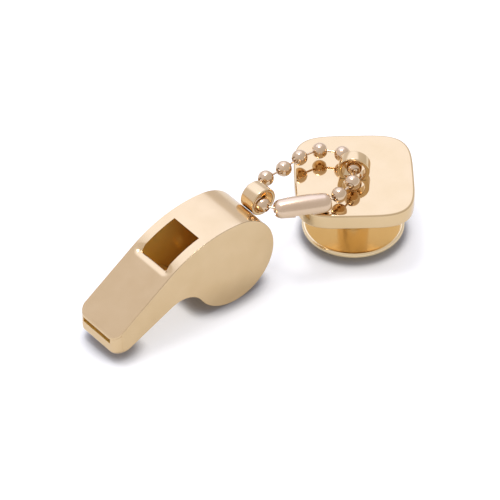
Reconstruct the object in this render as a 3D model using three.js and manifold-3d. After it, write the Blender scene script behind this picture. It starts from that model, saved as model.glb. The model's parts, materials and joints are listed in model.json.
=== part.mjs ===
// A pea whistle on a ball-chain loop that hangs from a two-faced stud.
// Millimetres, +Z up, origin at the centre of the flat foot under the stud.
import * as THREE from "three";
import { mergeVertices } from "three/addons/utils/BufferGeometryUtils.js";
import Module from "manifold-3d";

const wasm = await Module();
wasm.setup();
const deg = Math.PI / 180;

// Fits
const solderGap = 0.05; // between pieces that are soldered together
const edgeBreak = 0.12; // chamfer on the outer edges of flat pieces

// Stud
const headWidth = 17.9;
const headDepth = 18.5;
const headThickness = 2.6;
const headSquareness = 4.1; // exponent of the cushion outline: 2 is a circle
const headEdge = 0.2;
const clothGap = 6.35; // from the rim of the back to the underside of the head
const postDiameter = 4.8;
const backDiameter = 15.5;
const backRim = 0.75;
const backCrown = 0.1; // rise of the upper side from rim to post
const backDome = 1.2; // depth of the underside below the rim
const footDiameter = 8.0;

// Ring on the stud head
const studRingOuter = 4.8;
const studRingWall = 0.65;
const studRingLength = 1.95;
const studRingRise = 1.6; // bore centre above the head
const studRingHeading = -98; // degrees, direction of the bore

// Ball chain
const beadDiameter = 2.4;
const beadWall = 0.18;
const beadPitch = 3.5;
const beadHole = 1.0;
const holeFlare = 0.16; // how much wider the hole is at the outside
const wireDiameter = 0.32;
const knobDiameter = 1.04;
const knobGap = 0.06; // between the two knobs inside one bead
const beadLift = 0.4; // of the bead in the stud ring above the head
const loopTilt = 1.2; // degrees, the loop climbs towards the whistle

// Link headings in the plane of the loop, degrees. The upper strand starts at the bead in the
// stud ring and ends at the bead in the whistle ring. Three lower links lie parallel to upper ones.
const upperHeadings = [-54, -5, 37, 56, 44, 60, 120];
const upperBeads = ["06", "05", "04", "03", "02", "01", "10"];
const lowerHeadings = [91, upperHeadings[5], upperHeadings[4]];
const lowerBeads = ["08", "09"];
const lastHeading = upperHeadings[1]; // from the second end bead to bead 10

// Connector sleeve
const sleeveWall = 0.34;
const sleeveGap = 0.07; // round the end beads
const sleeveEndWall = 0.35;
const sleeveEndGap = 0.1;
const sleeveHole = 1.4;
const sleeveFlare = 0.22; // the end holes open outwards for the bend of the links
const sleeveEdge = 1.1; // rounding of the ends, cut short by the end holes
const slotWidth = 0.8;
const entryLength = 2.7;

// Whistle, seen from the side with the barrel axis at x = 0
const barrelRadius = 7.34;
const whistleWidth = 8.95;
const mouthReach = 22.5; // barrel axis to the mouth end
const topSlope = 33.4; // degrees
const topOffset = 10.23; // barrel axis to the top line
const crownRadius = 19.33;
const soleSlope = 23.5; // degrees
const lipRadius = 1.0;
const lipLift = 1.3; // of the mouth above the ground, the chain holds the whistle back
const throatFillet = 4.33;
const mouthCorner = 1.6; // rounding of the mouth in plan
const cheekThickness = 0.7;
const stripThickness = 0.6;
const windowBack = 5.48;
const windowFront = 11.74;
const windowWidth = 5.74;
const mouthSlotWidth = 6.3;
const mouthSlotHeight = 0.65;
const whistleHeading = -142.5; // degrees, direction of the mouth in plan

// Ring on the whistle
const whistleRingOuter = 4.5;
const whistleRingWall = 0.5;
const whistleRingLength = 2.7;

// Pea
const peaDiameter = 5.0;
const peaGap = 0.1; // between the pea and the barrel wall

const gold = new THREE.MeshStandardMaterial({ color: 0xe2bd83, metalness: 1, roughness: 0.15 });
const peaMetal = new THREE.MeshStandardMaterial({ color: 0xd9a95c, metalness: 1, roughness: 0.25 });

function group(name, parent) {
  const made = new THREE.Group();
  made.name = name;
  if (parent) parent.add(made);
  return made;
}

function mesh(name, geometry, parent, material = gold) {
  const made = new THREE.Mesh(geometry, material);
  made.name = name;
  parent.add(made);
  return made;
}

// Points on an arc, angles in radians.
function arc(cx, cy, radius, from, to, steps) {
  return Array.from({ length: steps + 1 }, (_, i) => {
    const t = from + ((to - from) * i) / steps;
    return new THREE.Vector2(cx + radius * Math.cos(t), cy + radius * Math.sin(t));
  });
}

const point = (x, y) => new THREE.Vector2(x, y);
const onSphere = (radius, offAxis) => Math.sqrt(radius * radius - offAxis * offAxis);

// A solid of revolution about X. The profile holds distance from the axis and place along it.
function turned(profile, segments) {
  return new THREE.LatheGeometry(profile, segments).rotateZ(-Math.PI / 2);
}

function toSolid(geometry) {
  const bare = geometry.clone();
  bare.deleteAttribute("normal");
  bare.deleteAttribute("uv");
  const merged = mergeVertices(bare, 1e-4);
  return new wasm.Manifold(
    new wasm.Mesh({
      numProp: 3,
      vertProperties: merged.attributes.position.array,
      triVerts: new Uint32Array(merged.index.array),
    }),
  );
}

function toGeometry(solid) {
  const made = solid.getMesh();
  const geometry = new THREE.BufferGeometry();
  geometry.setAttribute("position", new THREE.BufferAttribute(made.vertProperties, 3));
  geometry.setIndex(new THREE.BufferAttribute(made.triVerts, 1));
  geometry.computeVertexNormals();
  return geometry;
}

function box(x, y, z, cx, cy, cz) {
  return toSolid(new THREE.BoxGeometry(x, y, z).translate(cx, cy, cz));
}

// A tube ring about Y with softened rims.
function tubeRing(outer, wall, length) {
  const r1 = outer / 2;
  const r0 = r1 - wall;
  const h = length / 2;
  const c = wall / 4;
  const profile = [
    point(r0, -h + c),
    point(r0 + c, -h),
    point(r1 - c, -h),
    point(r1, -h + c),
    point(r1, h - c),
    point(r1 - c, h),
    point(r0 + c, h),
    point(r0, h - c),
    point(r0, -h + c),
  ];
  return new THREE.LatheGeometry(profile, 32);
}

const root = group("whistle_on_stud");

// Stud
const stud = group("stud", root);
const rimBottom = backDome;
const rimTop = rimBottom + backRim;
const seatTop = rimTop + backCrown;
const headBottom = rimTop + clothGap;
const headTop = headBottom + headThickness;

const cushion = new THREE.Shape(
  Array.from({ length: 72 }, (_, i) => {
    const t = (i / 72) * 2 * Math.PI;
    const bend = (v) => Math.sign(v) * Math.pow(Math.abs(v), 2 / headSquareness);
    return point((headWidth / 2) * bend(Math.cos(t)), (headDepth / 2) * bend(Math.sin(t)));
  }),
);
const head = new THREE.ExtrudeGeometry(cushion, {
  depth: headThickness - 2 * headEdge,
  bevelThickness: headEdge,
  bevelSize: headEdge,
  bevelOffset: -headEdge,
  bevelSegments: 2,
});
mesh("stud_head", head.translate(0, 0, headBottom + headEdge), stud);

const backRadius = backDiameter / 2;
const footRadius = footDiameter / 2;
const postRadius = postDiameter / 2;
const seatRadius = postRadius + 0.3;
const domeSteps = [1, 2, 3, 4];
const backProfile = [
  point(0, 0),
  point(footRadius, 0),
  ...domeSteps.map((i) => {
    const t = i / domeSteps.length;
    return point(footRadius + (backRadius - backRim / 4 - footRadius) * t, rimBottom * t * t);
  }),
  point(backRadius, rimBottom + backRim / 4),
  point(backRadius, rimTop - backRim / 4),
  ...domeSteps.map((i) => {
    const t = (i - 1) / (domeSteps.length - 1);
    const r = backRadius - backRim / 4 + (seatRadius - backRadius + backRim / 4) * t;
    return point(r, rimTop + backCrown * (1 - (1 - t) * (1 - t)));
  }),
  point(0, seatTop),
];
mesh("stud_back", new THREE.LatheGeometry(backProfile, 40).rotateX(Math.PI / 2), stud);

const postLength = headBottom - seatTop - 2 * solderGap;
const post = new THREE.CylinderGeometry(postRadius, postRadius, postLength, 32);
mesh("stud_post", post.rotateX(Math.PI / 2), stud).position.z = seatTop + solderGap + postLength / 2;

const archBlank = tubeRing(studRingOuter, studRingWall, studRingLength);
const archFloor = solderGap - studRingRise;
const below = box(2 * studRingOuter, 2 * studRingOuter, studRingOuter, 0, 0, archFloor - studRingOuter / 2);
const studRing = mesh("stud_ring", toGeometry(toSolid(archBlank).subtract(below)), stud);
studRing.position.z = headTop + studRingRise;
studRing.rotation.z = (studRingHeading - 90) * deg;

// Ball chain: X of the loop runs across the bore of the stud ring, Y along it.
const beadRadius = beadDiameter / 2;
const knobRadius = knobDiameter / 2;
const knobOffset = (knobDiameter + knobGap) / 2; // knob centre from the bead centre
const linkLength = beadPitch - 2 * knobOffset; // between the two knob centres of a link

const loop = group("chain_loop", root);
loop.position.set(0, 0, headTop + beadRadius + beadLift);
loop.rotation.order = "ZYX";
loop.rotation.set(0, -loopTilt * deg, (studRingHeading - 90) * deg);

const innerRadius = beadRadius - beadWall;
const holeIn = beadHole / 2;
const holeOut = holeIn + holeFlare;
const outerStart = Math.asin(holeOut / beadRadius);
const innerStart = Math.asin(holeIn / innerRadius);
const beadProfile = [
  ...arc(0, 0, beadRadius, outerStart - Math.PI / 2, Math.PI / 2 - outerStart, 7),
  ...arc(0, 0, innerRadius, Math.PI / 2 - innerStart, innerStart - Math.PI / 2, 4),
];
beadProfile.push(beadProfile[0].clone());
const beadGeometry = turned(beadProfile, 14);

const wireRadius = wireDiameter / 2;
const neck = Math.asin(wireRadius / knobRadius);
const linkProfile = [
  point(0, -linkLength / 2 - knobRadius),
  ...arc(0, -linkLength / 2, knobRadius, -Math.PI / 3, Math.PI / 2 - neck, 4),
  ...arc(0, linkLength / 2, knobRadius, neck - Math.PI / 2, Math.PI / 3, 4),
  point(0, linkLength / 2 + knobRadius),
];
const linkGeometry = turned(linkProfile, 10);

const along = (heading) => point(Math.cos(heading * deg), Math.sin(heading * deg));
const between = (a, b) => along(a).add(along(b)).angle() / deg;
const place = {};
loop.userData.knobs = {}; // knob centres, where the chain bends

function addBead(name, centre, heading, parent) {
  const made = mesh(name, beadGeometry.clone(), parent);
  made.position.set(centre.x, centre.y, 0);
  made.rotation.z = heading * deg;
  place[name] = centre.clone();
}

function addLink(name, start, end, parent) {
  const made = mesh(name, linkGeometry.clone(), parent);
  made.position.set((start.x + end.x) / 2, (start.y + end.y) / 2, 0);
  made.rotation.z = Math.atan2(end.y - start.y, end.x - start.x);
  loop.userData.knobs[name] = [start.clone(), end.clone()];
}

// Walks a strand from a knob centre and returns the knob centre where it stops.
function strand(parent, start, firstBead, headings, beads, lastTurn) {
  let knob = start;
  let from = firstBead;
  headings.forEach((heading, i) => {
    const next = knob.clone().addScaledVector(along(heading), linkLength);
    const to = i < beads.length ? beads[i] : "end_1";
    addLink("link_" + from + "_" + to, knob, next, parent);
    knob = next;
    if (i < beads.length) {
      const turn = between(heading, i + 1 < headings.length ? headings[i + 1] : lastTurn);
      addBead("bead_" + to, knob.clone().addScaledVector(along(turn), knobOffset), turn, parent);
      knob = knob.clone().addScaledVector(along(turn), 2 * knobOffset);
    }
    from = to;
  });
  return knob;
}

const upper = group("upper_strand", loop);
const lower = group("lower_strand", loop);
const firstTurn = between(upperHeadings[0] + 180, lowerHeadings[0]);
const upperStart = along(firstTurn).multiplyScalar(-knobOffset);
const lowerStart = along(firstTurn).multiplyScalar(knobOffset);
addBead("bead_07", point(0, 0), firstTurn, loop);
const afterTen = strand(upper, upperStart, "07", upperHeadings, upperBeads, lastHeading + 180);
const endTwo = afterTen.clone().addScaledVector(along(lastHeading + 180), linkLength);
addLink("link_10_end_2", afterTen, endTwo, upper);
const endOne = strand(lower, lowerStart, "07", lowerHeadings, lowerBeads, 0);

// The connector takes what is left between the two ends, so the loop always closes.
const span = endTwo.clone().sub(endOne);
const sleeveHeading = span.angle() / deg;
const endSpacing = span.length() - 2 * knobOffset;
const sleeveCentre = endOne.clone().add(endTwo).multiplyScalar(0.5);
const toEnd = along(sleeveHeading).multiplyScalar(endSpacing / 2);
addBead("end_bead_1", sleeveCentre.clone().sub(toEnd), sleeveHeading, lower);
addBead("end_bead_2", sleeveCentre.clone().add(toEnd), sleeveHeading, upper);

const sleeveInner = beadRadius + sleeveGap;
const sleeveOuter = sleeveInner + sleeveWall;
const cavityHalf = endSpacing / 2 + beadRadius + sleeveEndGap;
const sleeveHalf = cavityHalf + sleeveEndWall;
const holeRadius = sleeveHole / 2;
const mouthRadius = holeRadius + sleeveFlare;
const corner = sleeveOuter - sleeveEdge;
const innerEdge = sleeveEdge - sleeveWall;
const mouthTurn = Math.acos((mouthRadius - corner) / sleeveEdge);
const holeTurn = Math.acos((holeRadius - corner) / innerEdge);
const sleeveProfile = [
  ...arc(corner, sleeveEdge - sleeveHalf, sleeveEdge, -mouthTurn, 0, 5),
  ...arc(corner, sleeveHalf - sleeveEdge, sleeveEdge, 0, mouthTurn, 5),
  ...arc(corner, cavityHalf - innerEdge, innerEdge, holeTurn, 0, 3),
  ...arc(corner, innerEdge - cavityHalf, innerEdge, 0, -holeTurn, 3),
];
sleeveProfile.push(sleeveProfile[0].clone());
const slot = box(3 * sleeveHalf, slotWidth, sleeveOuter, 0, 0, -sleeveOuter / 2);
const entry = box(entryLength, beadDiameter, sleeveOuter, 0, 0, -sleeveOuter / 2);
const sleeveSolid = toSolid(turned(sleeveProfile, 24)).subtract(slot).subtract(entry);
const connector = mesh("connector", toGeometry(sleeveSolid), loop);
connector.position.set(sleeveCentre.x, sleeveCentre.y, 0);
connector.rotation.z = sleeveHeading * deg;

// Whistle: X towards the mouth, Y along the barrel axis, Z up.
const whistle = group("whistle", root);
const hold = place.bead_01.clone().add(place.bead_10).multiplyScalar(0.5);
loop.updateMatrix();
const holdPoint = new THREE.Vector3(hold.x, hold.y, 0).applyMatrix4(loop.matrix);
const ringSeat = barrelRadius + whistleRingOuter / 2 + solderGap;
const ringClimb = Math.asin((holdPoint.z - barrelRadius) / ringSeat);
const ringBack = -ringSeat * Math.cos(ringClimb);
whistle.rotation.z = whistleHeading * deg;
const mouthwards = along(whistleHeading);
whistle.position.set(holdPoint.x - ringBack * mouthwards.x, holdPoint.y - ringBack * mouthwards.y, 0);

const whistleRing = tubeRing(whistleRingOuter, whistleRingWall, whistleRingLength);
mesh("whistle_ring", whistleRing, whistle).position.set(ringBack, 0, holdPoint.z);

// Side profile. Every stretch can be inset, so walls and strips come from the same lines.
const topNormal = (90 - topSlope) * deg;
const soleNormal = (270 - soleSlope) * deg;
const crownLean = topNormal - Math.acos((topOffset - crownRadius) / (crownRadius - barrelRadius));
const crownX = (crownRadius - barrelRadius) * Math.cos(crownLean);
const crownZ = barrelRadius + (crownRadius - barrelRadius) * Math.sin(crownLean);
const lipX = mouthReach - lipRadius;
const lipZ = lipRadius + lipLift;
const filletReach = barrelRadius + throatFillet;
const filletDrop =
  lipRadius + throatFillet + Math.cos(soleNormal) * lipX + Math.sin(soleNormal) * (lipZ - barrelRadius);
const throat = soleNormal - 2 * Math.PI + Math.acos(filletDrop / filletReach);
const filletX = filletReach * Math.cos(throat);
const filletZ = barrelRadius + filletReach * Math.sin(throat);

const topAt = (x, inset) =>
  barrelRadius + (topOffset - inset - x * Math.cos(topNormal)) / Math.sin(topNormal);
const crown = (inset) =>
  arc(crownX, crownZ, crownRadius - inset, topNormal, crownLean + Math.PI, 8);
const barrel = (inset, end) =>
  arc(0, barrelRadius, barrelRadius - inset, crownLean + Math.PI, end, 36).slice(1);
const fillet = (inset) =>
  arc(filletX, filletZ, throatFillet + inset, throat + Math.PI, soleNormal - Math.PI, 5);
const lip = (inset) => arc(lipX, lipZ, lipRadius - inset, soleNormal, 2 * Math.PI, 8);
const throatEnd = throat + 2 * Math.PI;

const innerHalf = whistleWidth / 2 - cheekThickness;
const stripWidth = 2 * (innerHalf - solderGap);

// Extrudes a side profile along Y, centred on it.
function slab(points, width, chamfer = 0) {
  const made = new THREE.ExtrudeGeometry(new THREE.Shape(points), {
    depth: width - 2 * chamfer,
    bevelEnabled: chamfer > 0,
    bevelThickness: chamfer,
    bevelSize: chamfer,
    bevelOffset: -chamfer,
    bevelSegments: 1,
  });
  return made.translate(0, 0, chamfer - width / 2).rotateX(Math.PI / 2);
}

// Plan of the whistle with the two rounded corners at the mouth.
const tail = -2 * barrelRadius;
const half = whistleWidth / 2;
const plan = new THREE.Shape([
  point(tail, -half),
  ...arc(mouthReach - mouthCorner, mouthCorner - half, mouthCorner, -Math.PI / 2, 0, 5),
  ...arc(mouthReach - mouthCorner, half - mouthCorner, mouthCorner, 0, Math.PI / 2, 5),
  point(tail, half),
]);
const planDepth = 4 * barrelRadius;
const planSolid = toSolid(
  new THREE.ExtrudeGeometry(plan, { depth: planDepth, bevelEnabled: false }).translate(0, 0, -barrelRadius),
);

const sidePoints = [
  point(mouthReach, topAt(mouthReach, 0)),
  ...crown(0),
  ...barrel(0, throatEnd),
  ...fillet(0).slice(1),
  ...lip(0),
];
const cheek = toSolid(slab(sidePoints, cheekThickness, edgeBreak));
const cheekPlace = innerHalf + cheekThickness / 2;
mesh("cheek_right", toGeometry(cheek.translate([0, cheekPlace, 0]).intersect(planSolid)), whistle);
mesh("cheek_left", toGeometry(cheek.translate([0, -cheekPlace, 0]).intersect(planSolid)), whistle);

const bandEnd = throatEnd - solderGap / barrelRadius;
const bandPoints = [
  point(mouthReach, topAt(mouthReach, 0)),
  ...crown(0),
  ...barrel(0, bandEnd),
  ...barrel(stripThickness, bandEnd).reverse(),
  ...crown(stripThickness).reverse(),
  point(mouthReach, topAt(mouthReach, stripThickness)),
];
const windowLength = windowFront - windowBack;
const windowBox = box(
  windowLength,
  windowWidth,
  2 * barrelRadius,
  windowBack + windowLength / 2,
  0,
  2 * barrelRadius,
);
const bandSolid = toSolid(slab(bandPoints, stripWidth)).subtract(windowBox).intersect(planSolid);
mesh("top_band", toGeometry(bandSolid), whistle);

const slotTop = topAt(mouthReach, stripThickness);
const wallTop = slotTop - solderGap;
const backOfWall = mouthReach - stripThickness;
const solePoints = [
  ...fillet(0),
  ...lip(0),
  point(mouthReach, wallTop),
  point(backOfWall, topAt(backOfWall, stripThickness) - solderGap),
  ...lip(stripThickness).reverse(),
  ...fillet(stripThickness).reverse(),
];
const mouthSlot = box(
  4 * stripThickness,
  mouthSlotWidth,
  2 * mouthSlotHeight,
  mouthReach,
  0,
  slotTop,
);
const soleSolid = toSolid(slab(solePoints, stripWidth)).subtract(mouthSlot).intersect(planSolid);
mesh("mouth_sole", toGeometry(soleSolid), whistle);

// Windway floor, parallel to the top, with the wall that closes the chamber above the throat.
const floorInset = stripThickness + mouthSlotHeight * Math.sin(topNormal);
const floorEnd = backOfWall - solderGap;
const seat = throatFillet + stripThickness + solderGap;
const fromFillet = (angle) =>
  point(filletX + seat * Math.cos(angle), filletZ + seat * Math.sin(angle));
const wallFoot = throat + Math.PI;
const floorPoints = [
  point(floorEnd, topAt(floorEnd, floorInset)),
  point(windowFront, topAt(windowFront, floorInset)),
  fromFillet(wallFoot - 50 * deg),
  fromFillet(wallFoot - 64 * deg),
  point(windowFront + stripThickness, topAt(windowFront + stripThickness, floorInset + stripThickness)),
  point(floorEnd, topAt(floorEnd, floorInset + stripThickness)),
];
mesh("windway_floor", slab(floorPoints, stripWidth), whistle);

const peaRadius = peaDiameter / 2;
const peaOrbit = barrelRadius - stripThickness - peaGap - peaRadius;
const pea = new THREE.SphereGeometry(peaRadius, 18, 12).rotateX(Math.PI / 2);
mesh("pea", pea, whistle, peaMetal).position.set(0, 0, barrelRadius - peaOrbit);

export default root;
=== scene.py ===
import bmesh
import bpy
import json
import math
from mathutils import Matrix, Vector


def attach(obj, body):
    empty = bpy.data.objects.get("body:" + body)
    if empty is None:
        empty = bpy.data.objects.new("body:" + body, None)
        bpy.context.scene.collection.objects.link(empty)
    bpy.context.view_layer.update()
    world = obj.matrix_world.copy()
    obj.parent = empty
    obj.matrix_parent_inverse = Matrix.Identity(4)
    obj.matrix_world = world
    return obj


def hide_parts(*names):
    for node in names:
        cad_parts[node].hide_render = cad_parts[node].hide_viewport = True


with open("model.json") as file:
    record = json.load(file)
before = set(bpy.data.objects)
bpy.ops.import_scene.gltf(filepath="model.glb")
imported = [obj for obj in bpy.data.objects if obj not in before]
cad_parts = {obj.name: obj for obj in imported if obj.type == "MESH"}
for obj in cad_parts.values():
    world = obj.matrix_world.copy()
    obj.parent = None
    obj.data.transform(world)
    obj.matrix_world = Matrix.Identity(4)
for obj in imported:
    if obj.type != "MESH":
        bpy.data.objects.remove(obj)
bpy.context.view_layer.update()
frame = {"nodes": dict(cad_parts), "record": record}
mm = 0.001  # sizes below are in millimetres, the scene is in metres
solderGap = 0.05  # between pieces that are soldered together
print("frame loaded:", len(frame["nodes"]), "nodes")


# small helpers

meshing = {"sharpAngle": 35, "weld": 1e-4, "cut": 1e-5, "softSteps": 4, "softWeld": 5e-4}


def arcPoints(cx, cy, radius, start, end, steps):
    angles = [start + (end - start) * i / steps for i in range(steps + 1)]
    return [(cx + radius * math.cos(t), cy + radius * math.sin(t)) for t in angles]


def heading(degrees):
    return Vector((math.cos(math.radians(degrees)), math.sin(math.radians(degrees)), 0))


def meanHeading(a, b):
    v = heading(a) + heading(b)
    return math.degrees(math.atan2(v.y, v.x))


def finishMesh(name, bm, place=Matrix(), soft=0, isSoft=lambda a, b: True):
    # rounds by soft the sharp edges whose two ends pass isSoft, and makes an object in metres
    limit = math.radians(meshing["sharpAngle"])

    def isSharp(edge):
        return len(edge.link_faces) == 2 and edge.calc_face_angle() > limit

    bmesh.ops.remove_doubles(bm, verts=bm.verts, dist=meshing["weld"])
    bmesh.ops.recalc_face_normals(bm, faces=bm.faces)
    if soft:
        sharp = [e for e in bm.edges if isSharp(e) and isSoft(e.verts[0].co, e.verts[1].co)]
        bmesh.ops.bevel(bm, geom=sharp, offset=soft, segments=meshing["softSteps"], profile=0.5,
                        affect="EDGES", clamp_overlap=True, material=0)
        bmesh.ops.remove_doubles(bm, verts=bm.verts, dist=meshing["softWeld"])
        bmesh.ops.dissolve_degenerate(bm, edges=bm.edges, dist=meshing["softWeld"])
    for face in bm.faces:
        face.smooth = True
    for edge in bm.edges:
        if isSharp(edge):
            edge.smooth = False
    bmesh.ops.transform(bm, matrix=Matrix.Scale(mm, 4) @ place, verts=bm.verts)
    mesh = bpy.data.meshes.new(name)
    bm.to_mesh(mesh)
    bm.free()
    piece = bpy.data.objects.new(name, mesh)
    bpy.context.scene.collection.objects.link(piece)
    modifier = piece.modifiers.new("weighted", "WEIGHTED_NORMAL")  # flats stay flat beside rounded edges
    modifier.keep_sharp = True
    piece.data = bpy.data.meshes.new_from_object(piece.evaluated_get(bpy.context.evaluated_depsgraph_get()))
    piece.modifiers.clear()
    bpy.data.meshes.remove(mesh)
    return piece


def addPiece(piece, materials, body, nodes):
    for material in materials:
        piece.data.materials.append(material)
    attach(piece, body)
    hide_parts(*nodes)


def turned(profile, segments, closed=False):
    # revolves (radius, along) points about X; an open profile starts and ends on the axis
    bm = bmesh.new()
    turns = [2 * math.pi * k / segments for k in range(segments)]
    rings = []
    for radius, along in profile:
        if radius == 0:
            rings.append([bm.verts.new((along, 0, 0))])
        else:
            rings.append([bm.verts.new((along, radius * math.cos(t), radius * math.sin(t))) for t in turns])
    pairs = list(zip(rings, rings[1:])) + ([(rings[-1], rings[0])] if closed else [])
    for a, b in pairs:
        for k in range(segments):
            n = (k + 1) % segments
            corners = [a[k % len(a)], a[n % len(a)], b[n % len(b)], b[k % len(b)]]
            unique = list(dict.fromkeys(corners))
            if len(unique) > 2:
                bm.faces.new(unique)
    return bm


def lofted(rings):
    # skins a stack of equal rings and closes both ends
    bm = bmesh.new()
    stack = [[bm.verts.new(p) for p in ring] for ring in rings]
    count = len(stack[0])
    for a, b in zip(stack, stack[1:]):
        for k in range(count):
            n = (k + 1) % count
            bm.faces.new((a[k], a[n], b[n], b[k]))
    bm.faces.new(stack[0])
    bm.faces.new(list(reversed(stack[-1])))
    return bm


def walled(outer, inner, isOpen, wrap=False, edgeLook=0):
    # a wall between two point grids, with the open cells left out and their sides closed
    bm = bmesh.new()
    outerVerts = [[bm.verts.new(p) for p in row] for row in outer]
    innerVerts = [[bm.verts.new(p) for p in row] for row in inner]
    rows, columns = len(outer), len(outer[0])
    cells = {(i, j) for i in range(rows - 1) for j in range(columns if wrap else columns - 1)
             if not isOpen(i, j)}
    for i, j in cells:
        n = (j + 1) % columns
        for side, grid in enumerate((outerVerts, innerVerts)):
            face = bm.faces.new((grid[i][j], grid[i][n], grid[i + 1][n], grid[i + 1][j]))
            face.material_index = side  # the second material is the inside's
        left, right = ((j - 1) % columns, n) if wrap else (j - 1, j + 1)
        sides = [((i, left), (i, j), (i + 1, j)), ((i, right), (i, n), (i + 1, n)),
                 ((i - 1, j), (i, j), (i, n)), ((i + 1, j), (i + 1, j), (i + 1, n))]
        for neighbour, a, b in sides:
            if neighbour not in cells:
                face = bm.faces.new((outerVerts[a[0]][a[1]], outerVerts[b[0]][b[1]],
                                     innerVerts[b[0]][b[1]], innerVerts[a[0]][a[1]]))
                opening = 0 <= neighbour[0] < rows - 1 and 0 <= neighbour[1] < columns - 1
                face.material_index = edgeLook if opening else 0
    return bm


def tubeRing(outer, wall, length, edge, steps=5):
    # a short tube about X with rounded edges
    inner, h, q = outer - wall, length / 2, math.pi / 2
    section = (arcPoints(inner + edge, -h + edge, edge, -2 * q, -q, steps)
               + arcPoints(outer - edge, -h + edge, edge, -q, 0, steps)
               + arcPoints(outer - edge, h - edge, edge, 0, q, steps)
               + arcPoints(inner + edge, h - edge, edge, q, 2 * q, steps))
    return turned(section, segments=144, closed=True)


def smoothFade(tree, value, limits):
    fade = tree.nodes.new("ShaderNodeMapRange")
    fade.interpolation_type = "SMOOTHSTEP"
    fade.inputs["From Min"].default_value, fade.inputs["From Max"].default_value = limits
    tree.links.new(value, fade.inputs["Value"])
    return fade.outputs["Result"]


def mixColours(tree, amount, low, high):
    mix = tree.nodes.new("ShaderNodeMix")
    mix.data_type = "RGBA"
    tree.links.new(amount, mix.inputs["Factor"])
    if isinstance(low, tuple):
        mix.inputs["A"].default_value = (*low, 1)
    else:
        tree.links.new(low, mix.inputs["A"])
    mix.inputs["B"].default_value = (*high, 1)
    return mix.outputs["Result"]


# materials: polished plating; inside the whistle less of a mirror and a deeper amber, which is a painted
# stand-in for light bouncing round the hollow

metalLook = {
    "whistle": {"pale": (0.80, 0.60, 0.345), "deep": (0.76, 0.56, 0.31), "polish": (0.15, 0.21)},
    "stud": {"pale": (0.80, 0.60, 0.34), "deep": (0.77, 0.57, 0.31), "polish": (0.035, 0.07)},
    "chain": {"pale": (0.80, 0.61, 0.41), "deep": (0.74, 0.55, 0.35), "polish": (0.10, 0.17)},
    # back: a paler copy of the stud's gold, painted lighter to stand in for light reaching the disc and post
    # under the head
    "back": {"pale": (0.92, 0.74, 0.45), "deep": (0.89, 0.71, 0.42), "polish": (0.13, 0.18)},
    "sleeve": {"pale": (0.80, 0.61, 0.42), "deep": (0.75, 0.56, 0.37), "polish": (0.22, 0.29)},
    # inside: the deeper amber is painted bounce light, the colour of light reflected many times inside the
    # gold hollow
    "inside": {"pale": (0.95, 0.63, 0.15), "deep": (0.90, 0.57, 0.11), "polish": (0.12, 0.20), "metal": 0.25},
    "pea": {"pale": (0.74, 0.52, 0.26), "deep": (0.66, 0.45, 0.21), "polish": (0.22, 0.32)},
}
plating = {
    "toneScale": 260, "toneDetail": 3, "toneSpread": (0.3, 0.7), "hazeScale": 900, "hazeDetail": 5,
    "hairScale": 2500, "hairDetail": 2, "hairStretch": (1.0, 0.15, 1.0), "hairBump": 0.03, "hairDepth": 0.02,
}


def polishedGold(name, look):
    material = bpy.data.materials.new(name)
    material.use_nodes = True
    nodes, links = material.node_tree.nodes, material.node_tree.links
    shader = nodes["Principled BSDF"]
    shader.inputs["Metallic"].default_value = look.get("metal", 1.0)
    place = nodes.new("ShaderNodeTexCoord").outputs["Object"]

    def noise(vector, scale, detail):
        node = nodes.new("ShaderNodeTexNoise")
        node.inputs["Scale"].default_value = scale
        node.inputs["Detail"].default_value = detail
        links.new(vector, node.inputs["Vector"])
        return node.outputs["Fac"]

    tone = nodes.new("ShaderNodeValToRGB")  # slow tone drift of the plating
    for stop, position, shade in zip(tone.color_ramp.elements, plating["toneSpread"], ("deep", "pale")):
        stop.position = position
        stop.color = (*look[shade], 1)
    links.new(noise(place, plating["toneScale"], plating["toneDetail"]), tone.inputs["Fac"])
    links.new(tone.outputs["Color"], shader.inputs["Base Color"])

    haze = nodes.new("ShaderNodeMapRange")  # buffing haze
    haze.inputs["To Min"].default_value, haze.inputs["To Max"].default_value = look["polish"]
    links.new(noise(place, plating["hazeScale"], plating["hazeDetail"]), haze.inputs["Value"])
    links.new(haze.outputs["Result"], shader.inputs["Roughness"])

    stretch = nodes.new("ShaderNodeMapping")  # fine hairlines left by the polishing wheel
    stretch.inputs["Scale"].default_value = plating["hairStretch"]
    links.new(place, stretch.inputs["Vector"])
    bump = nodes.new("ShaderNodeBump")
    bump.inputs["Strength"].default_value = plating["hairBump"]
    bump.inputs["Distance"].default_value = plating["hairDepth"] * mm
    hairlines = noise(stretch.outputs["Vector"], plating["hairScale"], plating["hairDetail"])
    links.new(hairlines, bump.inputs["Height"])
    links.new(bump.outputs["Normal"], shader.inputs["Normal"])
    return material


gold = {part: polishedGold(part + "Gold", look) for part, look in metalLook.items()}
print("materials made")


# stud: cushion-square head, post, crowned back and the band loop on the head

headSizes = {"width": 17.9, "depth": 18.5, "thickness": 2.6, "squareness": 4.1, "edge": 0.35}
postSizes = {"diameter": 4.8, "edge": 0.06, "endFlat": 0.1}
backSizes = {
    "diameter": 15.5, "rim": 0.75, "rimEdge": 0.45, "crown": 0.1, "dome": 1.2, "foot": 8.0, "clothGap": 6.35,
    "seatSpare": 0.3,  # how far the flat seat reaches past the post
    "seatFlat": 0.97, "footFlat": 0.98,  # shares of the seat and the foot that are shaded flat
}
loopSizes = {"outer": 4.8, "wall": 0.65, "length": 1.95, "rise": 1.6, "heading": -98, "edge": 0.16}
rimTop = backSizes["dome"] + backSizes["rim"]
seatTop = rimTop + backSizes["crown"]
headBottom = rimTop + backSizes["clothGap"]
headTop = headBottom + headSizes["thickness"]
upright = Matrix.Rotation(math.radians(-90), 4, "Y")  # turns the X of a revolved shape up to Z


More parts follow.
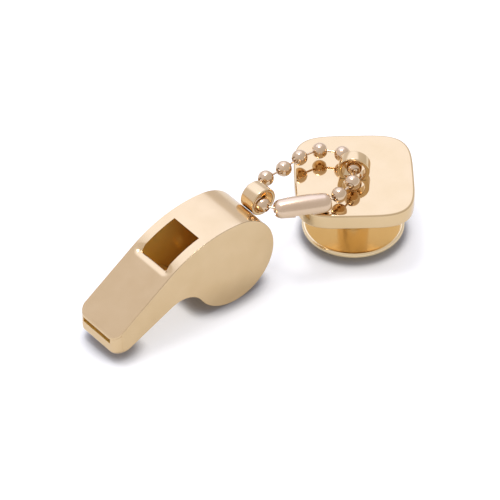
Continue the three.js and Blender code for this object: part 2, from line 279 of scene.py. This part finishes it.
def cushionRing(z, inset, count=240):
    halfX, halfY = headSizes["width"] / 2 - inset, headSizes["depth"] / 2 - inset
    power = 2 / headSizes["squareness"]
    ring = []
    for k in range(count):
        t = 2 * math.pi * k / count
        x, y = math.cos(t), math.sin(t)
        ring.append((halfX * math.copysign(abs(x) ** power, x), halfY * math.copysign(abs(y) ** power, y), z))
    return ring


def makeHead():
    edge = headSizes["edge"]
    lowEdge = arcPoints(edge, headBottom + edge, edge, 1.5 * math.pi, math.pi, steps=5)
    topEdge = arcPoints(edge, headTop - edge, edge, math.pi, math.pi / 2, steps=5)
    levels = [(2 * edge, headBottom)] + lowEdge + topEdge + [(2 * edge, headTop)]
    head = finishMesh("headPlate", lofted([cushionRing(z, inset) for inset, z in levels]))
    addPiece(head, [gold["stud"]], "stud", ["stud_head"])


def makeBack():
    radius, foot = backSizes["diameter"] / 2, backSizes["foot"] / 2
    dome, soft, lowSoft = backSizes["dome"], backSizes["rimEdge"], backSizes["rim"] / 4
    seat = postSizes["diameter"] / 2 + backSizes["seatSpare"]
    shoulder = radius - lowSoft
    steps = 14
    under = [(foot + (shoulder - foot) * i / steps, dome * (i / steps) ** 2) for i in range(steps + 1)]
    lowRim = arcPoints(shoulder, dome + lowSoft, lowSoft, -math.pi / 2, 0, steps=4)[1:]
    topRim = arcPoints(radius - soft, rimTop - soft, soft, 0, math.pi / 2, steps=8)
    crown = [(radius - soft + (seat - radius + soft) * i / steps,
              seatTop - (seatTop - rimTop) * (1 - i / steps) ** 2) for i in range(1, steps + 1)]
    profile = ([(0, 0), (foot * backSizes["footFlat"], 0)] + under + lowRim + topRim + crown
               + [(seat * backSizes["seatFlat"], seatTop), (0, seatTop)])
    back = finishMesh("backDisc", turned(profile, segments=160), upright)
    # the back disc takes the paler back gold: painted light under the head
    addPiece(back, [gold["back"]], "stud", ["stud_back"])


def makePost():
    radius, edge = postSizes["diameter"] / 2, postSizes["edge"]
    flat = radius - postSizes["endFlat"]
    low, high = seatTop + solderGap / 4, headBottom - solderGap / 4
    profile = ([(0, low), (flat, low)]
               + arcPoints(radius - edge, low + edge, edge, -math.pi / 2, 0, steps=3)
               + arcPoints(radius - edge, high - edge, edge, 0, math.pi / 2, steps=3)
               + [(flat, high), (0, high)])
    post = finishMesh("studPost", turned(profile, segments=96), upright)
    # the post also takes the paler back gold, so its reflection in the disc is painted lighter too
    addPiece(post, [gold["back"]], "stud", ["stud_post"])


def makeLoop():
    bm = tubeRing(loopSizes["outer"] / 2, loopSizes["wall"], loopSizes["length"], loopSizes["edge"])
    turn = Matrix.Rotation(math.radians(loopSizes["heading"]), 4, "Z")
    lift = Matrix.Translation((0, 0, headTop + loopSizes["rise"]))
    bmesh.ops.transform(bm, matrix=lift @ turn, verts=bm.verts)
    cut = bmesh.ops.bisect_plane(bm, geom=bm.verts[:] + bm.edges[:] + bm.faces[:], dist=meshing["cut"],
                                 plane_co=(0, 0, headTop + solderGap), plane_no=(0, 0, 1), clear_inner=True)
    rims = [e for e in cut["geom_cut"] if isinstance(e, bmesh.types.BMEdge)]
    bmesh.ops.edgeloop_fill(bm, edges=rims)
    loop = finishMesh("studLoop", bm)
    addPiece(loop, [gold["stud"]], "stud", ["stud_ring"])


makeHead()
makeBack()
makePost()
makeLoop()
print("stud made")


# ball chain: hollow beads on dumbbell links, laid out in the plane of the loop

chainSizes = {
    "pitch": 3.5, "lift": 0.4, "tilt": 1.2,
    "upper": [-54, -5, 37, 56, 44, 60, 120],  # link headings from the stud loop to the whistle's ring
    "upperBeads": ["06", "05", "04", "03", "02", "01", "10"],
    "lowerFirst": 91, "lowerBeads": ["08", "09"],
}
beadSizes = {"diameter": 2.4, "wall": 0.18, "hole": 1.0, "flare": 0.16}
linkSizes = {"wire": 0.32, "knob": 1.04, "knobGap": 0.06, "tipTurn": 1.3}  # the gap lies inside a bead
beadRadius = beadSizes["diameter"] / 2
knobOut = (linkSizes["knob"] + linkSizes["knobGap"]) / 2
linkLength = chainSizes["pitch"] - 2 * knobOut
loopPlace = (Matrix.Translation((0, 0, headTop + beadRadius + chainSizes["lift"]))
             @ Matrix.Rotation(math.radians(loopSizes["heading"] - 90), 4, "Z")
             @ Matrix.Rotation(math.radians(-chainSizes["tilt"]), 4, "Y"))


def walkChain():
    # bead centres and link middles in the plane of the loop, each with its direction
    upper = chainSizes["upper"]
    lower = [chainSizes["lowerFirst"], upper[5], upper[4]]
    last = upper[1]
    beads, links = {}, {}
    first = meanHeading(upper[0] + 180, lower[0])
    beads["bead_07"] = (Vector((0, 0, 0)), heading(first))

    def strand(knob, headings, names, lastTurn=None):
        came = "07"
        for i, angle in enumerate(headings):
            name = names[i] if i < len(names) else "end_1"
            links[f"link_{came}_{name}"] = (knob + heading(angle) * linkLength / 2, heading(angle))
            knob = knob + heading(angle) * linkLength
            if i < len(names):
                turn = meanHeading(angle, headings[i + 1] if i + 1 < len(headings) else lastTurn)
                beads[f"bead_{name}"] = (knob + heading(turn) * knobOut, heading(turn))
                knob = knob + heading(turn) * 2 * knobOut
            came = name
        return knob

    afterTen = strand(heading(first) * -knobOut, upper, chainSizes["upperBeads"], last + 180)
    links["link_10_end_2"] = (afterTen - heading(last) * linkLength / 2, -heading(last))
    endTwo = afterTen - heading(last) * linkLength
    endOne = strand(heading(first) * knobOut, lower, chainSizes["lowerBeads"])
    run = endTwo - endOne
    along = run.normalized()
    spacing = run.length - 2 * knobOut
    middle = (endOne + endTwo) / 2
    beads["end_bead_1"] = (middle - along * spacing / 2, along)
    beads["end_bead_2"] = (middle + along * spacing / 2, along)
    return beads, links, middle, along, spacing


def makeBeadShape():
    hole, inner, q = beadSizes["hole"] / 2, beadRadius - beadSizes["wall"], math.pi / 2
    outStart = math.asin((hole + beadSizes["flare"]) / beadRadius)
    inStart = math.asin(hole / inner)
    section = (arcPoints(0, 0, beadRadius, outStart - q, q - outStart, steps=30)
               + arcPoints(0, 0, inner, q - inStart, inStart - q, steps=12))
    return finishMesh("beadShape", turned(section, segments=48, closed=True))


def makeLinkShape():
    knob, half, q = linkSizes["knob"] / 2, linkLength / 2, math.pi / 2
    neck, tip = math.asin(linkSizes["wire"] / 2 / knob), linkSizes["tipTurn"]
    section = ([(0, -half - knob)] + arcPoints(0, -half, knob, -tip, q - neck, steps=10)
               + arcPoints(0, half, knob, neck - q, tip, steps=10) + [(0, half + knob)])
    return finishMesh("linkShape", turned(section, segments=24))


def chainTree():
    # sets one shape on every point, its X along the point's direction
    tree = bpy.data.node_groups.new("chainRun", "GeometryNodeTree")
    sockets = tree.interface
    sockets.new_socket("Points", in_out="INPUT", socket_type="NodeSocketGeometry")
    sockets.new_socket("Shape", in_out="INPUT", socket_type="NodeSocketObject")
    sockets.new_socket("Size", in_out="INPUT", socket_type="NodeSocketFloat")
    sockets.new_socket("Metal", in_out="INPUT", socket_type="NodeSocketMaterial")
    sockets.new_socket("Run", in_out="OUTPUT", socket_type="NodeSocketGeometry")
    nodes, links = tree.nodes, tree.links
    given, out = nodes.new("NodeGroupInput"), nodes.new("NodeGroupOutput")
    direction = nodes.new("GeometryNodeInputNamedAttribute")
    direction.data_type = "FLOAT_VECTOR"
    direction.inputs["Name"].default_value = "direction"
    align = nodes.new("FunctionNodeAlignRotationToVector")
    align.axis = "X"
    links.new(direction.outputs["Attribute"], align.inputs["Vector"])
    shape = nodes.new("GeometryNodeObjectInfo")
    links.new(given.outputs["Shape"], shape.inputs["Object"])
    copies = nodes.new("GeometryNodeInstanceOnPoints")
    links.new(given.outputs["Points"], copies.inputs["Points"])
    links.new(shape.outputs["Geometry"], copies.inputs["Instance"])
    links.new(align.outputs["Rotation"], copies.inputs["Rotation"])
    links.new(given.outputs["Size"], copies.inputs["Scale"])
    real = nodes.new("GeometryNodeRealizeInstances")
    links.new(copies.outputs["Instances"], real.inputs["Geometry"])
    paint = nodes.new("GeometryNodeSetMaterial")
    links.new(real.outputs["Geometry"], paint.inputs["Geometry"])
    links.new(given.outputs["Metal"], paint.inputs["Material"])
    links.new(paint.outputs["Geometry"], out.inputs["Run"])
    return tree


def chainRun(name, tree, shape, spots):
    mesh = bpy.data.meshes.new(name + "Points")
    mesh.from_pydata([loopPlace @ p * mm for p, d in spots], [], [])
    directions = mesh.attributes.new("direction", "FLOAT_VECTOR", "POINT")
    for k, (p, d) in enumerate(spots):
        directions.data[k].vector = loopPlace.to_3x3() @ d
    holder = bpy.data.objects.new(name + "Holder", mesh)
    bpy.context.scene.collection.objects.link(holder)
    modifier = holder.modifiers.new("chainRun", "NODES")
    modifier.node_group = tree
    sockets = {s.name: s.identifier for s in tree.interface.items_tree if s.in_out == "INPUT"}
    modifier[sockets["Shape"]] = shape
    modifier[sockets["Size"]] = 1.0
    modifier[sockets["Metal"]] = gold["chain"]
    evaluated = holder.evaluated_get(bpy.context.evaluated_depsgraph_get())
    made = bpy.data.meshes.new_from_object(evaluated)
    bpy.data.objects.remove(holder)
    piece = bpy.data.objects.new(name, made)
    bpy.context.scene.collection.objects.link(piece)
    return piece


sleeveSizes = {
    "wall": 0.34, "gap": 0.07, "end": 0.35, "endGap": 0.1, "hole": 1.4, "flare": 0.22, "edge": 1.1,
    "taper": 0.4, "slot": 0.8, "entry": 2.7, "soft": 0.05,
}


def makeSleeve(middle, along, spacing):
    # slotted below, with a wide entry in the middle that lets the end beads in
    innerR = beadRadius + sleeveSizes["gap"]
    outerR = innerR + sleeveSizes["wall"]
    cavity = spacing / 2 + beadRadius + sleeveSizes["endGap"]
    half, edge, entry = cavity + sleeveSizes["end"], sleeveSizes["edge"], sleeveSizes["entry"] / 2
    corner, innerEdge = outerR - edge, edge - sleeveSizes["wall"]
    holeIn = sleeveSizes["hole"] / 2
    holeOut = holeIn + sleeveSizes["flare"]
    endSteps, entrySteps, roundSteps = 12, 14, 60

    def profile(radius, end, soft, hole):
        turn = math.acos((hole - corner) / soft)
        return (arcPoints(corner, soft - end, soft, -turn, 0, endSteps) + [(radius, -entry), (radius, entry)]
                + arcPoints(corner, end - soft, soft, 0, turn, endSteps))

    outer = [(r - sleeveSizes["taper"] * (x / half) ** 2 * (r - holeOut), x)
             for r, x in profile(outerR, half, edge, holeOut)]
    inside = profile(innerR, cavity, innerEdge, holeIn)
    entryRow = endSteps + 1  # the straight stretch between the two entry marks
    slotHalf = math.asin(sleeveSizes["slot"] / 2 / innerR)
    entryHalf = math.asin(beadRadius / innerR)
    widening = entryHalf - slotHalf
    turns = ([-slotHalf, slotHalf] + [slotHalf + widening * i / entrySteps for i in range(1, entrySteps + 1)]
             + [entryHalf + (2 * math.pi - 2 * entryHalf) * i / roundSteps for i in range(1, roundSteps + 1)]
             + [-entryHalf + widening * i / entrySteps + 2 * math.pi for i in range(1, entrySteps)])

    def swept(points):
        return [[(x, r * math.sin(t), -r * math.cos(t)) for t in turns] for r, x in points]

    def isOpen(i, j):
        return j == 0 or (i == entryRow and (j <= entrySteps or j >= len(turns) - entrySteps))

    bm = walled(swept(outer), swept(inside), isOpen, wrap=True)
    turn = Matrix.Translation(middle) @ Matrix.Rotation(math.atan2(along.y, along.x), 4, "Z")
    sleeve = finishMesh("chainSleeve", bm, loopPlace @ turn, soft=sleeveSizes["soft"])
    addPiece(sleeve, [gold["sleeve"], gold["chain"]], "connector", ["connector"])


def makeChain():
    # gives back the spot where the chain holds the whistle
    beads, links, middle, along, spacing = walkChain()
    bodyOf = {n: body for body, names in frame["record"]["behaviour"]["bodies"].items() for n in names}
    tree, beadShape, linkShape = chainTree(), makeBeadShape(), makeLinkShape()
    for name, spot in beads.items():
        piece = chainRun(name.replace("_", "") + "Ball", tree, beadShape, [spot])
        addPiece(piece, [], bodyOf[name], [name])
    for body in sorted({bodyOf[n] for n in links}):
        names = [n for n in links if bodyOf[n] == body]
        piece = chainRun(body + "Wire", tree, linkShape, [links[n] for n in names])
        addPiece(piece, [], body, names)
    for shape in (beadShape, linkShape):
        bpy.data.objects.remove(shape)
    makeSleeve(middle, along, spacing)
    return loopPlace @ ((beads["bead_01"][0] + beads["bead_10"][0]) / 2)


holdSpot = makeChain()
print("chain made")


# whistle: side profile with the barrel axis at x = 0, X towards the mouth, Z up

whistleSizes = {
    "barrel": 7.34, "width": 8.95, "reach": 22.5, "topSlope": 33.4, "topOffset": 10.23, "crown": 19.33,
    "soleSlope": 23.5, "lip": 1.0, "lipLift": 1.3, "throat": 4.33, "mouthCorner": 1.6, "strip": 0.6,
    "mouthStrip": 0.35, "seam": 0.035, "heading": -142.5,
}
ringSizes = {"outer": 4.5, "wall": 0.5, "length": 2.7, "edge": 0.16}
barrel, crownRadius, lipRadius = whistleSizes["barrel"], whistleSizes["crown"], whistleSizes["lip"]
strip, reach, seam = whistleSizes["strip"], whistleSizes["reach"], whistleSizes["seam"]
halfWidth = whistleSizes["width"] / 2
fillet, mouthCorner = whistleSizes["throat"], whistleSizes["mouthCorner"]
topNormal = math.radians(90 - whistleSizes["topSlope"])
soleNormal = math.radians(270 - whistleSizes["soleSlope"])
crownLean = topNormal - math.acos((whistleSizes["topOffset"] - crownRadius) / (crownRadius - barrel))
crownX = (crownRadius - barrel) * math.cos(crownLean)
crownZ = barrel + (crownRadius - barrel) * math.sin(crownLean)
lipX, lipZ = reach - lipRadius, lipRadius + whistleSizes["lipLift"]
filletReach = barrel + fillet
filletDrop = lipRadius + fillet + math.cos(soleNormal) * lipX + math.sin(soleNormal) * (lipZ - barrel)
throat = soleNormal - 2 * math.pi + math.acos(filletDrop / filletReach)
filletX, filletZ = filletReach * math.cos(throat), barrel + filletReach * math.sin(throat)
seatReach = barrel + ringSizes["outer"] / 2 + solderGap
ringBack = -seatReach * math.cos(math.asin((holdSpot.z - barrel) / seatReach))
mouthWay = heading(whistleSizes["heading"])
barrelSpot = (holdSpot.x - ringBack * mouthWay.x, holdSpot.y - ringBack * mouthWay.y, 0)
whistlePlace = Matrix.Translation(barrelSpot) @ Matrix.Rotation(math.radians(whistleSizes["heading"]), 4, "Z")


def topAt(x, inset):
    return barrel + (whistleSizes["topOffset"] - inset - x * math.cos(topNormal)) / math.sin(topNormal)


def crownArc(inset, steps=40):
    return arcPoints(crownX, crownZ, crownRadius - inset, topNormal, crownLean + math.pi, steps)


def barrelArc(inset, end, steps=160):
    return arcPoints(0, barrel, barrel - inset, crownLean + math.pi, end, steps)[1:]


def filletArc(inset, steps=16):
    return arcPoints(filletX, filletZ, fillet + inset, throat + math.pi, soleNormal - math.pi, steps)


def mouthBack(y):
    # how far the mouth is held back where it is rounded in plan
    over = min(mouthCorner, max(0.0, abs(y) - halfWidth + mouthCorner))
    return mouthCorner - math.sqrt(mouthCorner ** 2 - over ** 2)


def lipArc(inset, y, steps=24):
    back = mouthBack(y)
    rise = back * math.tan(math.radians(whistleSizes["soleSlope"]))
    return arcPoints(lipX - back, lipZ + rise, lipRadius - inset, soleNormal, 2 * math.pi, steps)


cheekSizes = {"thickness": 0.7, "edgeStep": 0.3}  # the step softens the outer edge, as a share of the seam


def sideRing(inset, y):
    # outline of a cheek at one depth
    front = reach - mouthBack(y) - inset
    outline = ([(front, topAt(front, inset))] + crownArc(inset) + barrelArc(inset, throat + 2 * math.pi)
               + filletArc(inset)[1:] + lipArc(inset, y))
    return [(x, y, z) for x, z in outline]


def makeCheek(name, side, node):
    under, step = strip + seam, cheekSizes["edgeStep"]
    levels = [(under, halfWidth - cheekSizes["thickness"]), (under, halfWidth - under + seam),
              (seam, halfWidth - seam), ((1 + step) * seam, halfWidth - step * seam), (2 * seam, halfWidth)]
    bm = lofted([sideRing(inset, side * y) for inset, y in levels])
    # inward faces take the inside material, with its painted amber bounce light
    for face in bm.faces:
        if abs(face.calc_center_median().y) < halfWidth - under:
            face.material_index = 1
    cheek = finishMesh(name, bm, whistlePlace)
    addPiece(cheek, [gold["whistle"], gold["inside"]], "whistle", [node])


# the two strips between the cheeks are grids of rows along the profile and columns across it

bendTurns = range(22, 71, 8)  # degrees round the rounding of the mouth, one column each
bendColumns = [halfWidth - mouthCorner + mouthCorner * math.sin(math.radians(t)) for t in bendTurns]
bendColumns.append(halfWidth - seam)


def mirrored(columns):
    return [-y for y in reversed(columns)] + columns


def mitred(y, depth):
    return y * (1 - depth / halfWidth)  # the strips narrow inwards, so the seam runs along the corner


def underneath(y, start, low):
    # spreads the columns from an opening's side to the mitred edge
    high = mitred(halfWidth - seam, strip)
    return math.copysign(low + (high - low) * (abs(y) - start) / (halfWidth - seam - start), y)


def pointGrid(columns, pointsAt):
    return list(zip(*[pointsAt(y) for y in columns]))


windowSizes = {
    "back": 5.48, "front": 11.74, "width": 5.74, "corner": 0.3,
    "undercut": 0.6,  # back and sides are cut back below, so that the edges are thin
    "rollWidth": 1.1, "rollBend": 1.55,  # lip that dips into the window along its mouth side
    "rollSide": 0.85, "rollHorn": 0.9,  # how fast it dies away sideways, how far it runs along the sides
    "rollRows": 9, "hornRows": (0.02, 0.05, 0.1, 0.16, 0.23, 0.3, 0.4, 0.5, 0.6, 0.75, 0.9),
    "sideColumns": (0, 0.08, 0.16, 0.25, 0.35, 0.46), "flatRow": 15,
    "backSpare": 0.9, "hornSpare": 1.2, "rollSpare": 1.5,  # no other rows this near to the window's ends
}


def makeBand():
    front, back, windowHalf = windowSizes["front"], windowSizes["back"], windowSizes["width"] / 2
    roll, corner, undercut = windowSizes["rollWidth"], windowSizes["corner"], windowSizes["undercut"]
    rollRows, flat = windowSizes["rollRows"], windowSizes["flatRow"]
    bandEnd = throat + 2 * math.pi - solderGap / barrel
    beforeBack, afterBack = back - windowSizes["backSpare"], back + windowSizes["backSpare"]
    beforeHorn, afterRoll = front - windowSizes["hornSpare"], front + windowSizes["rollSpare"]
    kept = [k for k, (x, z) in enumerate(crownArc(0))
            if x < beforeBack or afterBack < x < beforeHorn or x > afterRoll]
    marks = [front + roll * i / rollRows for i in range(rollRows + 1)]
    marks += [front - d for d in windowSizes["hornRows"]]

    def rolled(x, y):
        # how far the metal dips towards the window
        away = math.hypot(max(0.0, x - front), windowSizes["rollSide"] * max(0.0, abs(y) - windowHalf))
        behind = max(0.0, front - x) / windowSizes["rollHorn"]
        inside = max(0.0, roll * (1 - behind ** 2) - away)
        bend = windowSizes["rollBend"]
        return bend - math.sqrt(bend ** 2 - inside ** 2)

    def roundedSide(x, y):
        # the two front corners of the window are rounded in plan
        over = min(corner, max(0.0, x - front + corner)) * min(1.0, max(0.0, 1 - (x - front) / roll))
        return math.copysign(windowHalf - corner + math.sqrt(corner ** 2 - over ** 2), y)

    def bandRows(inset, y):
        arc, bow = crownArc(inset), crownRadius - inset
        flatFrom = crownX + bow * math.cos(topNormal)
        crown = [arc[k] for k in kept]
        for x in marks + [back - (undercut if inset else 0)]:
            z = topAt(x, inset) if x > flatFrom else crownZ + math.sqrt(bow ** 2 - (x - crownX) ** 2)
            crown.append((x, z))
        crown.sort(key=lambda p: -p[0])
        mouth = reach - mouthBack(y)
        end = (mouth, topAt(mouth, min(inset, whistleSizes["mouthStrip"])))
        return [end, (flat, topAt(flat, inset))] + crown + barrelArc(inset, bandEnd)

    def outerPoint(x, y, z):
        atWindow = abs(y) == windowHalf and z > barrel
        return (x, roundedSide(x, y) if atWindow else y, z - rolled(x, y))

    def innerRow(y):
        spread = underneath(y, windowHalf, windowHalf + undercut)
        return [(x, spread if k else mitred(y, seam), z) for k, (x, z) in enumerate(bandRows(strip, y))]

    columns = mirrored([windowHalf + d for d in windowSizes["sideColumns"]] + bendColumns)
    outer = pointGrid(columns, lambda y: [outerPoint(x, y, z) for x, z in bandRows(0, y)])
    middleCell = len(columns) // 2 - 1

    def inWindow(i, j):
        middle = (outer[i][0][0] + outer[i + 1][0][0]) / 2
        return j == middleCell and back < middle < front and outer[i][0][2] > barrel

    def onSeam(a, b):
        return min(abs(a.y), abs(b.y)) > halfWidth - 2 * seam

    # the band's underside and window edges take the inside material, painted amber for bounced light
    bm = walled(outer, pointGrid(columns, innerRow), inWindow)
    band = finishMesh("topBand", bm, whistlePlace, soft=seam, isSoft=onSeam)
    addPiece(band, [gold["whistle"], gold["inside"]], "whistle", ["top_band"])


slotSizes = {"width": 6.3, "height": 0.85, "gap": 0.01}


def makeSole():
    slotHalf, mouthStrip = slotSizes["width"] / 2, whistleSizes["mouthStrip"]
    slope = math.tan(math.radians(whistleSizes["topSlope"]))

    def soleRows(inset, y):
        mouth = reach - mouthBack(y)
        slotTop = topAt(mouth, mouthStrip) - slotSizes["gap"]
        slotLow = topAt(reach, mouthStrip) - slotSizes["height"]
        ends = [(mouth - inset, slotLow), (mouth - inset, slotTop + inset * slope)]
        return filletArc(inset) + lipArc(inset, y) + ends

    def innerRow(y):
        return [(x, underneath(y, slotHalf, slotHalf), z) for x, z in soleRows(strip, y)]

    columns = mirrored([slotHalf] + [y for y in bendColumns if y > slotHalf + solderGap])
    outer = pointGrid(columns, lambda y: [(x, y, z) for x, z in soleRows(0, y)])
    last, middleCell = len(outer) - 2, len(columns) // 2 - 1
    # the slot's ledge takes the inside material too, painted amber and brighter to stand in for light
    # bouncing in the slot
    bm = walled(outer, pointGrid(columns, innerRow), lambda i, j: i == last and j == middleCell, edgeLook=1)
    sole = finishMesh("mouthSole", bm, whistlePlace, soft=seam)
    addPiece(sole, [gold["whistle"], gold["inside"]], "whistle", ["mouth_sole"])


windwaySizes = {"footTurns": (50, 64), "soft": 0.04}


def makeWindway():
    # floor of the air slot, bent down under the window to stand on the throat
    inside = halfWidth - cheekSizes["thickness"] - solderGap
    inset = strip + slotSizes["height"] * math.sin(topNormal)
    seat = fillet + strip + solderGap
    end, bend = reach - strip - solderGap, windowSizes["front"]

    def onThroat(degrees):
        angle = throat + math.pi - math.radians(degrees)
        return (filletX + seat * math.cos(angle), filletZ + seat * math.sin(angle))

    section = [(end, topAt(end, inset)), (bend, topAt(bend, inset))]
    section += [onThroat(degrees) for degrees in windwaySizes["footTurns"]]
    section += [(x, topAt(x, inset + strip)) for x in (bend + strip, end)]
    bm = lofted([[(x, y, z) for x, z in section] for y in (-inside, inside)])
    floor = finishMesh("windwayFloor", bm, whistlePlace, soft=windwaySizes["soft"])
    # all of the windway floor takes the inside material, painted amber for bounced light
    addPiece(floor, [gold["inside"]], "whistle", ["windway_floor"])


def makeRing():
    bm = tubeRing(ringSizes["outer"] / 2, ringSizes["wall"], ringSizes["length"], ringSizes["edge"])
    turn = Matrix.Translation((ringBack, 0, holdSpot.z)) @ Matrix.Rotation(math.pi / 2, 4, "Z")
    ring = finishMesh("whistleLoop", bm, whistlePlace @ turn)
    addPiece(ring, [gold["whistle"]], "whistle", ["whistle_ring"])


peaSizes = {"diameter": 5.0, "gap": 0.1, "dent": 0.003, "lumps": (9, 4, 7, 2)}  # lumps are wave counts


def makePea():
    radius = peaSizes["diameter"] / 2
    orbit = barrel - strip - peaSizes["gap"] - radius
    a, b, c, d = peaSizes["lumps"]
    bm = bmesh.new()
    bmesh.ops.create_icosphere(bm, subdivisions=5, radius=radius)
    for vert in bm.verts:  # a pressed ball isn't quite true
        n = vert.co.normalized()
        vert.co *= 1 - peaSizes["dent"] * (1 + math.sin(a * n.x + b * n.z) * math.sin(c * n.y + d * n.x))
    pea = finishMesh("peaBall", bm, whistlePlace @ Matrix.Translation((0, 0, barrel - orbit)))
    addPiece(pea, [gold["pea"]], "pea", ["pea"])


makeCheek("cheekRight", 1, "cheek_right")
makeCheek("cheekLeft", -1, "cheek_left")
makeBand()
makeSole()
makeWindway()
makeRing()
makePea()
print("whistle made")


# floor, light and camera

# the darker floor tone is a painted shadow: the floor's colour beside the object, as seen directly
groundLook = {
    "size": 4000, "drop": 0.02, "roughness": 0.9, "colour": (0.58, 0.58, 0.58), "paintedShadowTone": (0.40, 0.41, 0.43),
    "glow": 0.52, "glossShare": 0.5, "shade": (0.5, 0.93), "shadeReach": 3.6,
}


def makeGround():
    bm = bmesh.new()
    bmesh.ops.create_grid(bm, x_segments=1, y_segments=1, size=groundLook["size"])
    ground = finishMesh("floor", bm)
    ground.location.z = -groundLook["drop"] * mm
    material = bpy.data.materials.new("paleFloor")
    material.use_nodes = True
    tree = material.node_tree
    nodes, links = tree.nodes, tree.links
    shader = nodes["Principled BSDF"]
    shader.inputs["Roughness"].default_value = groundLook["roughness"]
    shader.inputs["Specular IOR Level"].default_value = 0.0

    def sums(kind, a, b):
        node = nodes.new("ShaderNodeMath")
        node.operation = kind
        for socket, value in zip(node.inputs, (a, b)):
            if isinstance(value, float):
                socket.default_value = value
            else:
                links.new(value, socket)
        return node.outputs["Value"]

    rays = nodes.new("ShaderNodeLightPath")  # seen directly and in the metal, the floor is whiter
    nearby = nodes.new("ShaderNodeAmbientOcclusion")  # not so beside the object: there a painted shadow fades in, by how much of the sky the object hides nearby
    nearby.inputs["Distance"].default_value = groundLook["shadeReach"] * mm
    clear = smoothFade(tree, nearby.outputs["AO"], groundLook["shade"])
    direct = sums("MULTIPLY", rays.outputs["Is Camera Ray"], clear)
    inMetal = sums("MULTIPLY", rays.outputs["Is Glossy Ray"], groundLook["glossShare"])
    strength = sums("MULTIPLY", sums("MAXIMUM", direct, inMetal), groundLook["glow"])
    # painted contact shadow: seen from the camera, the floor's colour darkens beside the object
    under = sums("SUBTRACT", rays.outputs["Is Camera Ray"], direct)
    tone = mixColours(tree, under, groundLook["colour"], groundLook["paintedShadowTone"])
    links.new(tone, shader.inputs["Base Color"])
    shader.inputs["Emission Color"].default_value = (1, 1, 1, 1)
    links.new(strength, shader.inputs["Emission Strength"])
    ground.data.materials.append(material)


skyLook = {
    "dark": (0.66, 0.64, 0.68), "mid": (0.80, 0.785, 0.90), "bright": (1.26, 1.36, 1.82),
    "midWay": (-0.6, 0.55, 0.58), "midFade": (-0.2, 0.75),
    "brightWay": (-0.15, 0.55, 0.82), "brightFade": (0.78, 0.91),
}


def makeSky():
    world = bpy.data.worlds.new("studio")
    bpy.context.scene.world = world
    world.use_nodes = True
    tree = world.node_tree
    place = tree.nodes.new("ShaderNodeTexCoord").outputs["Generated"]

    def towards(way, limits):
        along = tree.nodes.new("ShaderNodeVectorMath")
        along.operation = "DOT_PRODUCT"
        along.inputs[1].default_value = Vector(way).normalized()
        tree.links.new(place, along.inputs[0])
        return smoothFade(tree, along.outputs["Value"], limits)

    sides = mixColours(tree, towards(skyLook["midWay"], skyLook["midFade"]), skyLook["dark"], skyLook["mid"])
    sky = mixColours(tree, towards(skyLook["brightWay"], skyLook["brightFade"]), sides, skyLook["bright"])
    tree.links.new(sky, tree.nodes["Background"].inputs["Color"])


keyLamp = {"place": (-160, 100, 970), "aim": (-15, -4, 5), "size": 250, "power": 3.5}  # power in watts


def makeKey():
    place, aim = [Vector([c * mm for c in keyLamp[spot]]) for spot in ("place", "aim")]
    data = bpy.data.lights.new("keyBox", "AREA")
    data.size = keyLamp["size"] * mm
    data.energy = keyLamp["power"]
    lamp = bpy.data.objects.new("keyBox", data)
    lamp.location = place
    lamp.rotation_mode = "QUATERNION"
    lamp.rotation_quaternion = (aim - place).to_track_quat("-Z", "Y")
    bpy.context.scene.collection.objects.link(lamp)


cameraView = {
    "elevation": 42, "turn": -1.7, "distance": 750, "across": 75, "target": (-15.65, -4.12, 0),
    "sensor": 36, "clip": (10, 20000),
}


def makeCamera():
    e, turn = math.radians(cameraView["elevation"]), math.radians(cameraView["turn"])
    away = Vector((-math.sin(turn) * math.cos(e), math.cos(turn) * math.cos(e), -math.sin(e)))
    camera = bpy.data.cameras.new("camera")
    camera.sensor_width = cameraView["sensor"]
    camera.lens = cameraView["sensor"] * cameraView["distance"] / cameraView["across"]
    camera.clip_start, camera.clip_end = [c * mm for c in cameraView["clip"]]
    eye = bpy.data.objects.new("camera", camera)
    eye.location = (Vector(cameraView["target"]) - away * cameraView["distance"]) * mm
    eye.rotation_mode = "QUATERNION"
    eye.rotation_quaternion = away.to_track_quat("-Z", "Y")
    bpy.context.scene.collection.objects.link(eye)
    bpy.context.scene.camera = eye
    bpy.context.scene.view_settings.view_transform = "Standard"


makeGround()
makeSky()
makeKey()
makeCamera()
print("stage made")
